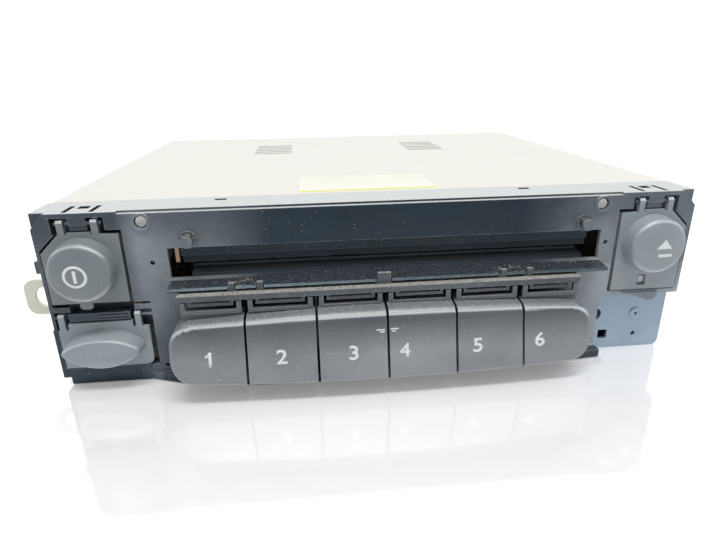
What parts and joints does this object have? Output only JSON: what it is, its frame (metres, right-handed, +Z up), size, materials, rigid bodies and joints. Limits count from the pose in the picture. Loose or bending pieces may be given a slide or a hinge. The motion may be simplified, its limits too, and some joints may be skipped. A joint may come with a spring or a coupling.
{
  "type": "car radio with disc slot",
  "caption": "Single-height in-dash car radio and disc player with a preset key row, hinged power and eject buttons and a disc slot, standing without its outer trim.",
  "frame": {"origin": "centre of the underside of the steel case", "axes": "+X to the radio's right as its user sees it, +Y from the front towards the rear sockets, +Z up"},
  "size_m": [0.197, 0.1864, 0.05],
  "materials": {
    "frame_plastic": "moulded, semi-gloss, dusty",
    "key_plastic": "satin, finger-worn",
    "dark_plastic": "moulded",
    "zinc_steel": "zinc plated",
    "case_front_steel": "zinc plated, grey",
    "bare_steel": "bright",
    "aluminium": "as cast",
    "bronze": "spring sheet",
    "board_laminate": "solder mask",
    "rubber": "moulded",
    "lens_glass": "polished"
  },
  "bodies": {
    "radio": {"front_frame": "frame_plastic", "key_rail": "frame_plastic", "lower_disc_guide": "frame_plastic", "upper_disc_guide": "dark_plastic", "connector_block": "dark_plastic", "capacitor": "dark_plastic", "amplifier": "dark_plastic", "switch_key_1": "dark_plastic", "switch_key_2": "dark_plastic", "switch_key_3": "dark_plastic", "switch_key_4": "dark_plastic", "switch_key_5": "dark_plastic", "switch_key_6": "dark_plastic", "switch_power": "dark_plastic", "switch_lower": "dark_plastic", "switch_eject": "dark_plastic", "case_tub": "zinc_steel", "top_cover": "zinc_steel", "back_panel": "zinc_steel", "mounting_ear": "zinc_steel", "tuner_can": "zinc_steel", "case_front": "case_front_steel", "deck_plate": "bare_steel", "spindle_motor": "bare_steel", "guide_rod_left": "bare_steel", "guide_rod_right": "bare_steel", "sled_motor": "bare_steel", "loading_motor": "bare_steel", "aerial_socket": "bare_steel", "heat_sink": "aluminium", "disc_sense_leaf": "bronze", "key_board": "board_laminate", "main_board": "board_laminate", "damper_front_left": "rubber", "damper_front_right": "rubber", "damper_back_left": "rubber", "damper_back_right": "rubber", "drive_belt": "rubber"},
    "key_1": {"key_1": "key_plastic"},
    "key_2": {"key_2": "key_plastic"},
    "key_3": {"key_3": "key_plastic"},
    "key_4": {"key_4": "key_plastic"},
    "key_5": {"key_5": "key_plastic"},
    "key_6": {"key_6": "key_plastic"},
    "power_button": {"power_button": "key_plastic"},
    "lower_button": {"lower_button": "key_plastic"},
    "eject_button": {"eject_button": "key_plastic"},
    "motor_pulley": {"motor_pulley": "dark_plastic"},
    "turntable": {"turntable": "dark_plastic"},
    "clamp_arm": {"clamp_arm": "bare_steel"},
    "clamp_puck": {"clamp_puck": "dark_plastic"},
    "lead_screw": {"lead_screw": "bare_steel"},
    "roller": {"roller_shaft": "bare_steel", "roller_sleeve": "rubber"},
    "sled": {"pickup_sled": "aluminium", "pickup_lens": "lens_glass"}
  },
  "joints": [
    {"name": "key_1_press", "type": "hinge", "parent": "radio", "child": "key_1", "pos_m": [-0.04688, -0.0877, 0.0272], "axis": [1, 0, 0], "range_deg": [0, 3], "stiffness_Nm_per_rad": 0.12, "springref_deg": -5.73},
    {"name": "key_2_press", "type": "hinge", "parent": "radio", "child": "key_2", "pos_m": [-0.02813, -0.0877, 0.0272], "axis": [1, 0, 0], "range_deg": [0, 3], "stiffness_Nm_per_rad": 0.12, "springref_deg": -5.73},
    {"name": "key_3_press", "type": "hinge", "parent": "radio", "child": "key_3", "pos_m": [-0.00937, -0.0877, 0.0272], "axis": [1, 0, 0], "range_deg": [0, 3], "stiffness_Nm_per_rad": 0.12, "springref_deg": -5.73},
    {"name": "key_4_press", "type": "hinge", "parent": "radio", "child": "key_4", "pos_m": [0.00937, -0.0877, 0.0272], "axis": [1, 0, 0], "range_deg": [0, 3], "stiffness_Nm_per_rad": 0.12, "springref_deg": -5.73},
    {"name": "key_5_press", "type": "hinge", "parent": "radio", "child": "key_5", "pos_m": [0.02813, -0.0877, 0.0272], "axis": [1, 0, 0], "range_deg": [0, 3], "stiffness_Nm_per_rad": 0.12, "springref_deg": -5.73},
    {"name": "key_6_press", "type": "hinge", "parent": "radio", "child": "key_6", "pos_m": [0.04688, -0.0877, 0.0272], "axis": [1, 0, 0], "range_deg": [0, 3], "stiffness_Nm_per_rad": 0.12, "springref_deg": -5.73},
    {"name": "power_button_press", "type": "hinge", "parent": "radio", "child": "power_button", "pos_m": [-0.079, -0.0788, 0.0472], "axis": [1, 0, 0], "range_deg": [0, 3.5], "stiffness_Nm_per_rad": 0.12, "springref_deg": -5.73},
    {"name": "lower_button_press", "type": "hinge", "parent": "radio", "child": "lower_button", "pos_m": [-0.0777, -0.0788, 0.0209], "axis": [1, 0, 0], "range_deg": [0, 4.5], "stiffness_Nm_per_rad": 0.12, "springref_deg": -5.73},
    {"name": "eject_button_press", "type": "hinge", "parent": "radio", "child": "eject_button", "pos_m": [0.079, -0.0788, 0.0472], "axis": [1, 0, 0], "range_deg": [0, 3.5], "stiffness_Nm_per_rad": 0.12, "springref_deg": -5.73},
    {"name": "roller_turn", "type": "hinge", "parent": "radio", "child": "roller", "pos_m": [0.0031, -0.0636, 0.0289], "axis": [1, 0, 0], "continuous": true},
    {"name": "motor_pulley_turn", "type": "hinge", "parent": "radio", "child": "motor_pulley", "pos_m": [0.0031, -0.0492, 0.0273], "axis": [1, 0, 0], "continuous": true},
    {"name": "turntable_turn", "type": "hinge", "parent": "radio", "child": "turntable", "pos_m": [0.0031, -0.0096, 0.0335], "axis": [0, 0, 1], "continuous": true},
    {"name": "clamp_arm_lift", "type": "hinge", "parent": "radio", "child": "clamp_arm", "pos_m": [0.0031, 0.0614, 0.0375], "axis": [-1, 0, 0], "range_deg": [0, 5], "stiffness_Nm_per_rad": 0.1, "springref_deg": -11.46},
    {"name": "clamp_puck_turn", "type": "hinge", "parent": "clamp_arm", "child": "clamp_puck", "pos_m": [0.0031, -0.0096, 0.036], "axis": [0, 0, 1], "continuous": true},
    {"name": "sled_travel", "type": "slide", "parent": "radio", "child": "sled", "axis": [0, 1, 0], "range_m": [0, 0.033]},
    {"name": "lead_screw_turn", "type": "hinge", "parent": "radio", "child": "lead_screw", "pos_m": [0.0317, 0.0304, 0.0269], "axis": [0, 1, 0], "range_deg": [-60, 4020]}
  ],
  "couplings": [
    {"joint": "motor_pulley_turn", "follows": "roller_turn", "ratio": 1.7692},
    {"joint": "clamp_puck_turn", "follows": "turntable_turn", "ratio": 1},
    {"joint": "lead_screw_turn", "follows": "sled_travel", "rad_per_m": 2094.4}
  ]
}
